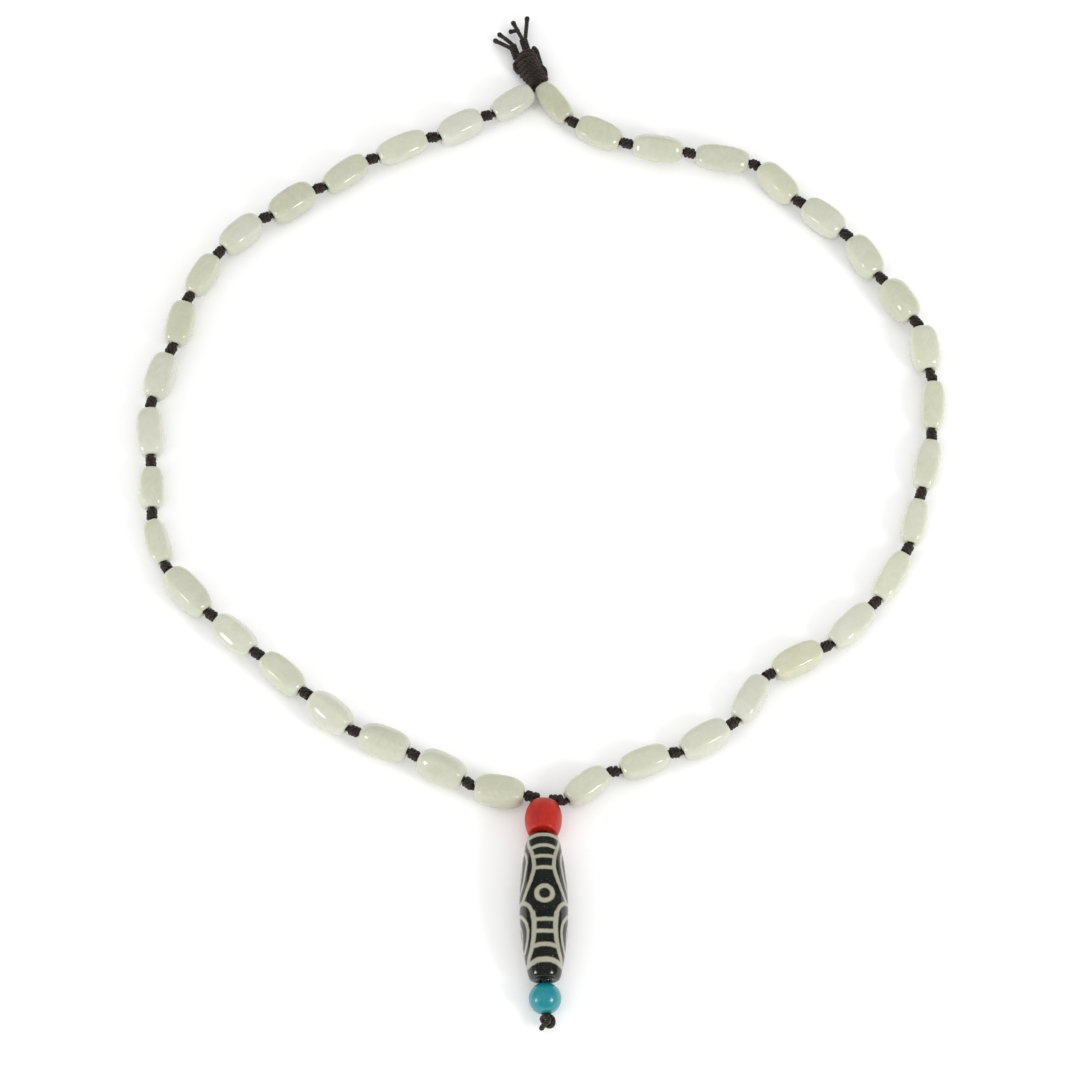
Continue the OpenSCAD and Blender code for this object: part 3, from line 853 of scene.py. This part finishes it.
# Lines of the dzi bead on one quarter of it: places along from its upper end in
# millimetres and turns from the middle of its face in degrees, and the width of the line
DZI_LINES = (
    (1.2, ((1.0, 0), (1.05, 25), (1.5, 55), (1.7, 90))),
    (1.1, ((4.0, 0), (4.1, 18), (4.6, 40))),
    (1.1, ((6.95, 0), (7.0, 20), (7.2, 32))),
    (1.1, ((10.0, 0), (10.05, 18), (10.1, 28))),
    (1.35, ((1.5, 66), (3.2, 57), (4.7, 44), (6.4, 34), (9.0, 27), (11.0, 28.5), (13.4, 36))),
    (1.2, ((13.4, 36), (15.5, 46), (17.3, 56), (18.4, 67), (18.7, 90))),
    (1.1, ((5.0, 90), (5.2, 74), (6.2, 60), (8.0, 53), (10.2, 54.5), (12.5, 58.5), (14.6, 66))),
    (1.1, ((14.6, 66), (15.9, 78), (16.1, 90))),
    (0.9, ((8.2, 90), (8.6, 80), (10.3, 76), (12.4, 80), (12.9, 90))),
    (1.2, ((18.7, 90), (18.6, 66), (19.0, 50), (20.1, 38), (21.7, 30))),
    (1.6, ((21.7, 30), (23.8, 27.2), (26.3, 28.5), (28.7, 33.2), (31.2, 44), (33.6, 64))),
    (1.1, ((21.4, 90), (21.6, 76), (22.3, 64), (24.0, 50), (26.3, 47), (28.5, 53), (30.6, 68))),
    (1.1, ((30.6, 68), (31.4, 90))),
    (0.9, ((23.9, 90), (24.3, 79), (26.3, 73), (28.3, 79), (28.8, 90))),
    (1.15, ((23.4, 0), (23.4, 16), (23.2, 27))),
    (1.1, ((26.4, 0), (26.35, 15), (26.3, 27))),
    (1.2, ((29.6, 0), (29.7, 18), (30.0, 36))),
    (1.5, ((33.3, 0), (33.45, 25), (34.2, 60), (34.4, 90))),
)
DZI_EYE = {"place": 16.8, "along": 1.88, "across": 2.02, "width": 1.2}
DZI_FACE_TURN = math.radians(2)
# Half a line as a share of its width, how far its edges wander in millimetres, the share of
# the end's radius within which there are no lines, and the depth far outside all lines
DZI_HALF_LINE = 0.44
DZI_WANDER = 0.35
DZI_PLAIN = 0.98
OUTSIDE = -9.0


def line_depth(places, diameter):
    """How far inside a line of the pattern each point lies, in millimetres, below 0 outside."""
    along = places[:, 0] / MM
    face = np.abs((-places[:, 1] - DZI_FACE_TURN + math.pi) % (2 * math.pi) - math.pi)
    turn = np.degrees(np.minimum(face, math.pi - face))
    around = diameter / 2 / MM * math.pi / 180
    spot = np.stack([along, turn * around], 1)
    depth = np.full(len(spot), OUTSIDE)
    for width, corners in DZI_LINES:
        corners = np.array([(place, degrees * around) for place, degrees in corners])
        curve = smooth_path(np.hstack([corners, np.zeros((len(corners), 1))]), 40)[:, :2]
        for start, end in zip(curve, curve[1:]):
            way = end - start
            share = np.clip(((spot - start) @ way) / (way @ way), 0, 1)
            gap = np.linalg.norm(spot - start - share[:, None] * way, axis=1)
            depth = np.maximum(depth, DZI_HALF_LINE * width - gap)
    reach, spread = DZI_EYE["along"], DZI_EYE["across"]
    eye = np.hypot((spot[:, 0] - DZI_EYE["place"]) / reach, spot[:, 1] / spread)
    return np.maximum(depth, DZI_EYE["width"] / 2 - np.abs(eye - 1) * (reach + spread) / 2)


def dzi_material():
    """Polished dark agate with pale etched lines."""
    pendant = bpy.context.scene.necklace_pendant
    material, shader = new_material("etched agate")
    wander = arithmetic(material, "SUBTRACT", noise_texture(material, 900, 3, 0.6), 0.5)
    inside = carried(material, "line", "Fac")
    depth = arithmetic(material, "MULTIPLY_ADD", wander, DZI_WANDER, inside)
    depth = arithmetic(material, "ADD", depth, 0.5)
    line = ramp(material, depth, (0.34, 0), (0.72, 1))
    edge = ramp(material, depth, (0.40, 0), (0.54, 1), (0.70, 0.3), (0.9, 0))
    clouds = noise_texture(material, 240, 3, 0.5, 0.4)
    dusk = ramp(material, clouds, (0.4, 0), (0.75, 0.7))
    chalk = ramp(material, clouds, (0.35, 0), (0.7, 1))
    sparkle = ramp(material, noise_texture(material, 2300, 2, 0.6), (0.64, 0), (0.72, 1))
    ground = mixed(material, dusk, pendant.dzi_colour, display(30, 34, 27))
    ground = laid(material, ground, display(112, 118, 104), sparkle, 0.5)
    pale = laid(material, pendant.dzi_line, display(172, 172, 162), chalk, 0.4)
    pale = laid(material, pale, display(176, 166, 120), edge, 0.55)
    looks = {
        "Base Color": mixed(material, line, ground, pale),
        "Roughness": ramp(material, line, (0, 0.16), (1, 0.26)),
        "Normal": bump(material, line, 0.04 * MM, 0.5),
        "IOR": 1.54,
        "Specular IOR Level": 0.4,
        "Coat Weight": 0.3,
        "Coat Roughness": 0.1,
    }
    join(material, shader, looks)
    return material


class NecklaceDziBead(bpy.types.Operator):
    """Make the patterned dzi bead"""

    bl_idname = "object.necklace_dzi_bead"
    bl_label = "Dzi Bead"

    def execute(self, context):
        pendant = context.scene.necklace_pendant
        way = slanted(pendant.dzi_heading, pendant.dzi_pitch)
        length, diameter, end = pendant.dzi_length, pendant.dzi_diameter, pendant.dzi_end
        outline = barrel_outline(length, diameter, end, pendant.dzi_rim, count=330)
        grid, places = lathe(outline, box_centre("dzi_bead"), way, sides=256)
        places[:, 0] += length / 2
        depth = line_depth(places, diameter)
        depth[places[:, 2] < DZI_PLAIN * end / 2] = OUTSIDE
        pieces = Pieces()
        pieces.add(grid, closed=True, line=depth)
        settle(pieces.build("dzi_bead_stone", dzi_material()), "dzi", "dzi_bead")
        return {"FINISHED"}


def turquoise_material():
    """Mottled blue-green stone."""
    pendant = bpy.context.scene.necklace_pendant
    material, shader = new_material("turquoise stone")
    patches = ramp(material, noise_texture(material, 330, 4, 0.6, 0.8), (0.45, 0), (0.68, 1))
    greens = ramp(material, noise_texture(material, 420, 4, 0.6, 1.2), (0.56, 0), (0.66, 1))
    threads = noise_texture(material, 620, 5, 0.65, 2.0)
    webs = ramp(material, threads, (0.485, 0), (0.5, 1), (0.515, 0))
    colour = laid(material, pendant.turquoise_colour, pendant.turquoise_pale, patches, 0.35)
    colour = laid(material, colour, pendant.turquoise_green, greens, 0.75)
    looks = {
        "Base Color": laid(material, colour, display(60, 70, 60), webs, 0.18),
        "Roughness": ramp(material, patches, (0, 0.26), (1, 0.36)),
        "Normal": bump(material, noise_texture(material, 2600, 3, 0.6), 0.02 * MM, 0.3),
        "Specular IOR Level": 0.5,
        "Coat Weight": 0.45,
        "Coat Roughness": 0.1,
    }
    join(material, shader, looks)
    return material


class NecklaceTurquoiseBead(bpy.types.Operator):
    """Make the small round bead below the dzi bead"""

    bl_idname = "object.necklace_turquoise_bead"
    bl_label = "Turquoise Bead"

    def execute(self, context):
        pendant = context.scene.necklace_pendant
        way = slanted(pendant.turquoise_heading, pendant.turquoise_pitch)
        radius, bore = pendant.turquoise_diameter / 2, pendant.bore / 2
        reach, first = math.sqrt(radius * radius - bore * bore), math.asin(bore / radius)
        turns = np.linspace(first, math.pi - first, 121)
        side = [(radius * math.cos(turn), radius * math.sin(turn)) for turn in turns]
        rim = pendant.turquoise_rim
        outline = rounded_loop([(-reach, bore), (reach, bore), *side], rim, count=110)
        grid, _ = lathe(outline, box_centre("turquoise_bead"), way, sides=96)
        pieces = Pieces()
        pieces.add(grid, closed=True)
        stone = pieces.build("turquoise_bead_stone", turquoise_material())
        settle(stone, "turquoise", "turquoise_bead")
        return {"FINISHED"}


# Middle of the end knot's strand in millimetres: across, up its slanted face and out of it
END_KNOT = (
    (-0.5, 1.15, -0.6),
    (0.5, 1.35, -0.3),
    (1.35, 0.55, 0.25),
    (1.3, -0.65, 0.3),
    (0.4, -1.1, -0.3),
    (-0.7, -0.35, -0.7),
    (-1.2, 0.7, -0.1),
    (-0.4, 1.35, 0.7),
    (0.35, 0.6, 1.1),
    (-0.35, -0.35, 0.9),
    (-1.05, -1.1, 0.5),
    (-1.35, -1.55, 0.4),
)
END_KNOT_STRAND = 1.3 * MM
END_KNOT_LEAN = math.radians(26)
# Its middle from the middle of the solid's box
END_KNOT_SHIFT = np.array([0.3, -0.3, 0.3]) * MM
# How far the pendant's cord leaves the coral bead above the middle of its hole and enters
# the dzi bead below the middle of that one's, how far past the parting it begins, and how
# far inside the round bead it ends
CORD_SHIFT = np.array([0, 0, 0.36]) * MM
CORD_START = 0.4 * MM
CORD_END = 0.8 * MM


def tilt(lean):
    """Turns rows of points on an upright face onto one that leans back by an angle."""
    sine, cosine = math.sin(lean), math.cos(lean)
    return np.array([[1, 0, 0], [0, cosine, sine], [0, -sine, cosine]])


class NecklacePendantCord(bpy.types.Operator):
    """Make the cord through the pendant and the knot that ends it"""

    bl_idname = "object.necklace_pendant_cord"
    bl_label = "Pendant Cord"

    def execute(self, context):
        pendant = context.scene.necklace_pendant
        coral_way = slanted(pendant.coral_heading, pendant.coral_pitch)
        dzi_way = slanted(pendant.dzi_heading, pendant.dzi_pitch)
        ball_way = slanted(pendant.turquoise_heading, pendant.turquoise_pitch)
        coral, dzi, ball = (box_centre(n) for n in ("coral_bead", "dzi_bead", "turquoise_bead"))
        route = [
            parting_point() + coral_way * CORD_START,
            coral,
            coral + coral_way * pendant.coral_length / 2 + CORD_SHIFT,
            dzi - dzi_way * pendant.dzi_length / 2 - CORD_SHIFT,
            dzi,
            dzi + dzi_way * pendant.dzi_length / 2,
            ball,
            ball + ball_way * (pendant.turquoise_diameter / 2 - CORD_END),
        ]
        legs = [np.linspace(start, end, 30)[:-1] for start, end in zip(route, route[1:])]
        pieces = Pieces()
        add_tube(pieces, np.vstack([*legs, route[-1:]]), context.scene.necklace_cord.cord / 2)
        settle(pieces.build("pendant_cord_strand", cord_material()), "cord", "pendant_cord")

        strand = smooth_path(np.array(END_KNOT) * MM, 150) @ tilt(END_KNOT_LEAN)
        middle = box_centre("end_knot") + END_KNOT_SHIFT
        pieces = Pieces()
        add_tube(pieces, middle + strand, END_KNOT_STRAND / 2)
        settle(pieces.build("end_knot_strands", cord_material()), "cord", "end_knot")
        return {"FINISHED"}


# Tie at the back: its foot and heading, and strands whose points are hundredths of its
# length along, of its width across and of its width up
TIE_FOOT = (-0.001104, 0.122123)
TIE_HEADING = math.radians(106)
TIE_LENGTH = 12 * MM
TIE_WIDTH = 6 * MM
TIE_CORE_RADIUS = 1.75 * MM
TIE_CORE = ((9, 0, 40), (40, 7, 43), (67, 6, 45), (88, 8, 43))
TIE_STRANDS = (
    (1.45, ((86, -45, 33), (85, -27, 63), (86, -1, 77), (86, 22, 70), (82, 40, 47))),
    (1.5, ((75, -58, 30), (75, -38, 63), (76, -9, 82), (74, 20, 78), (70, 43, 47))),
    (1.5, ((64, -61, 27), (63, -36, 65), (63, -8, 83), (63, 22, 78), (59, 43, 47))),
    (1.45, ((55, -56, 27), (51, -33, 65), (53, -7, 83), (54, 22, 78), (49, 42, 50))),
    (1.45, ((42, -45, 30), (41, -26, 65), (44, -4, 80), (46, 22, 73), (40, 42, 47))),
    (1.4, ((32, -37, 30), (30, -20, 63), (35, 2, 75), (38, 29, 65), (38, 52, 43))),
    (1.4, ((23, -29, 30), (21, -10, 60), (26, 14, 68), (30, 41, 57), (28, 55, 37))),
    (1.4, ((16, -17, 30), (12, 1, 57), (17, 24, 63), (19, 45, 50), (19, 52, 33))),
    (1.4, ((97, 42, 53), (87, 47, 57), (74, 47, 53), (60, 47, 50), (46, 46, 43))),
    (1.4, ((75, -33, 43), (73, -55, 43), (65, -63, 40), (56, -59, 37), (46, -36, 33))),
    (1.4, ((45, 50, 50), (37, 56, 50), (27, 54, 43), (19, 45, 37), (15, 26, 33))),
    (1.6, ((22, -27, 37), (10, -12, 40), (3, -4, 37))),
    (1.6, ((15, 37, 37), (8, 18, 38), (3, 4, 37))),
    (2.0, ((40, -30, 34), (60, -34, 36), (82, -22, 36))),
    (2.0, ((30, 34, 34), (55, 30, 36), (82, 22, 36))),
)


def tie_points(rows):
    """Points of the tie from rows of hundredths."""
    along, across, up = np.array(rows).T[:, :, None] / 100
    ahead, aside = slanted(TIE_HEADING, 0), slanted(TIE_HEADING - math.pi / 2, 0)
    reach = along * TIE_LENGTH * ahead + across * TIE_WIDTH * aside
    return np.array([*TIE_FOOT, 0]) + reach + up * TIE_WIDTH * np.array([0, 0, 1])


class NecklaceClosingKnot(bpy.types.Operator):
    """Make the wrapped knot that ties both strings together at the back"""

    bl_idname = "object.necklace_closing_knot"
    bl_label = "Closing Knot"

    def execute(self, context):
        pieces = Pieces()
        core = smooth_path(tie_points(TIE_CORE), 40)
        add_tube(pieces, core, TIE_CORE_RADIUS, sides=20)
        for diameter, rows in TIE_STRANDS:
            add_strand(pieces, tie_points(rows), diameter * MM)
        settle(pieces.build("closing_knot_strands", cord_material()), "cord", "closing_knot")
        return {"FINISHED"}


# Cut ends of the cord, in the same hundredths: the doubled stubs and the loose strands
LEFT_STUB = ((84, -44, 46), (122, -46, 44))
LEFT_STRANDS = (
    ((117, -41, 50), (138, -62, 45), (158, -84, 36)),
    ((114, -56, 44), (131, -84, 38), (147, -110, 30)),
)
RIGHT_STUB = ((96, 7, 52), (129, 9, 48))
RIGHT_STRANDS = (
    ((127, 18, 48), (154, 38, 43), (182, 58, 36)),
    ((127, 6, 48), (153, -1, 43), (179, -8, 36)),
    ((156, 0, 41), (158, -15, 37), (160, -30, 32)),
)
# Rings of a loose strand, and the share of it where the tip begins to swell
LOOSE_RINGS = 60
TIP_START = 0.8


def add_cord_ends(pieces, stub, strands):
    """Adds a ribbed stub and the strands that part from it."""
    cord = bpy.context.scene.necklace_cord
    ribbed_knot(pieces, *tie_points(stub), cord.stub, cord.stub_strand, turn=0.4)
    share = np.linspace(0, 1, LOOSE_RINGS)
    swell = np.sin(np.clip((share - TIP_START) / (1 - TIP_START), 0, 1) * math.pi / 2) ** 2
    radii = cord.loose / 2 + (cord.tip - cord.loose) / 2 * swell
    for rows in strands:
        add_tube(pieces, smooth_path(tie_points(rows), LOOSE_RINGS), radii)


class NecklaceCordEnds(bpy.types.Operator):
    """Make the cut ends that stand out of the closing knot"""

    bl_idname = "object.necklace_cord_ends"
    bl_label = "Cord Ends"

    def execute(self, context):
        for node, stub, strands in (
            ("cord_ends_left", LEFT_STUB, LEFT_STRANDS),
            ("cord_ends_right", RIGHT_STUB, RIGHT_STRANDS),
        ):
            pieces = Pieces()
            add_cord_ends(pieces, stub, strands)
            settle(pieces.build(f"{node}_strands", cord_material()), "cord", node)
        return {"FINISHED"}


# Half the floor's side in metres, and the soft boxes' names, ways and shares of the power
FLOOR_REACH = 3
SQUARE = ((-1, -1), (1, -1), (1, 1), (-1, 1))
SOFT_BOXES = (
    ("soft_box_left", (-0.86, -0.40, 0.30), 0.8),
    ("soft_box_right", (0.70, -0.50, 0.51), 1),
)
# Height of a soft box as a share of its width, and width of the camera's sensor
SOFT_BOX_SHAPE = 1.15
SENSOR_WIDTH = 36


class NecklaceStage(bpy.types.Operator):
    """Make the floor, the light and the camera"""

    bl_idname = "object.necklace_stage"
    bl_label = "Floor, Light and Camera"

    def execute(self, context):
        stage = context.scene.necklace_stage
        aim = Vector(stage.aim)

        material, shader = new_material("pale floor")
        grain = noise_texture(material, 40, 2, 0.5)
        tone = mixed(material, grain, stage.floor_colour, display(252, 252, 252))
        join(material, shader, {"Base Color": tone, "Roughness": 0.9, "Specular IOR Level": 0.1})
        mesh = bpy.data.meshes.new("floor")
        corners = [(x * FLOOR_REACH, y * FLOOR_REACH, 0) for x, y in SQUARE]
        mesh.from_pydata(corners, [], [(0, 1, 2, 3)])
        mesh.materials.append(material)
        floor = bpy.data.objects.new("floor", mesh)
        context.scene.collection.objects.link(floor)

        world = bpy.data.worlds.new("studio")
        world.use_nodes = True
        background = world.node_tree.nodes["Background"]
        background.inputs["Color"].default_value = (1, 1, 1, 1)
        rays = world.node_tree.nodes.new("ShaderNodeLightPath")
        dimmed = world.node_tree.nodes.new("ShaderNodeMapRange")
        dimmed.inputs["To Min"].default_value = stage.sky
        dimmed.inputs["To Max"].default_value = stage.sky * stage.mirrored
        world.node_tree.links.new(rays.outputs["Is Glossy Ray"], dimmed.inputs["Value"])
        world.node_tree.links.new(dimmed.outputs["Result"], background.inputs["Strength"])
        context.scene.world = world

        for name, way, share in SOFT_BOXES:
            light = bpy.data.lights.new(name, "AREA")
            light.shape = "RECTANGLE"
            light.size = stage.lamp_size
            light.size_y = stage.lamp_size * SOFT_BOX_SHAPE
            light.energy = stage.lamp_power * share
            lamp = bpy.data.objects.new(name, light)
            way = Vector(way).normalized()
            lamp.location = aim + way * stage.lamp_distance
            lamp.rotation_euler = way.to_track_quat("Z", "Y").to_euler()
            context.scene.collection.objects.link(lamp)

        camera = bpy.data.cameras.new("camera")
        camera.lens = stage.lens
        camera.sensor_width = SENSOR_WIDTH
        camera.clip_start = 0.05
        camera.clip_end = 20
        view = bpy.data.objects.new("camera", camera)
        back = Vector((0, -math.cos(stage.camera_elevation), math.sin(stage.camera_elevation)))
        view.location = aim + back * stage.camera_distance
        view.rotation_euler = (math.pi / 2 - stage.camera_elevation, 0, 0)
        context.scene.collection.objects.link(view)
        context.scene.camera = view
        context.scene.view_settings.view_transform = "Standard"
        return {"FINISHED"}


MAKERS = (
    NecklaceStage,
    NecklaceJadeBeads,
    NecklaceKnottedCord,
    NecklaceCoralBead,
    NecklaceDziBead,
    NecklaceTurquoiseBead,
    NecklacePendantCord,
    NecklaceClosingKnot,
    NecklaceCordEnds,
)
GROUPS = (
    ("necklace_jade", JadeSettings),
    ("necklace_cord", CordSettings),
    ("necklace_pendant", PendantSettings),
    ("necklace_stage", StageSettings),
)


class NecklacePanel(bpy.types.Panel):
    """Lists the necklace's operators and settings in the 3D view's sidebar"""

    bl_idname = "VIEW3D_PT_necklace"
    bl_label = "Necklace"
    bl_space_type = "VIEW_3D"
    bl_region_type = "UI"
    bl_category = "Necklace"

    def draw(self, context):
        for maker in MAKERS:
            self.layout.operator(maker.bl_idname)
        for name, group in GROUPS:
            box = self.layout.box()
            box.label(text=group.__doc__)
            for setting in group.__annotations__:
                box.prop(getattr(context.scene, name), setting)


def register():
    """Registers the settings, operators and panel."""
    for name, group in GROUPS:
        bpy.utils.register_class(group)
        setattr(bpy.types.Scene, name, bpy.props.PointerProperty(type=group))
    for maker in MAKERS:
        bpy.utils.register_class(maker)
    bpy.utils.register_class(NecklacePanel)


def unregister():
    """Takes the panel, operators and settings away again."""
    bpy.utils.unregister_class(NecklacePanel)
    for maker in reversed(MAKERS):
        bpy.utils.unregister_class(maker)
    for name, group in reversed(GROUPS):
        delattr(bpy.types.Scene, name)
        bpy.utils.unregister_class(group)


def main():
    """Registers the classes and makes every piece."""
    register()
    for maker in MAKERS:
        group, name = maker.bl_idname.split(".")
        getattr(getattr(bpy.ops, group), name)()
    bpy.context.view_layer.update()


if __name__ == "__main__":
    main()
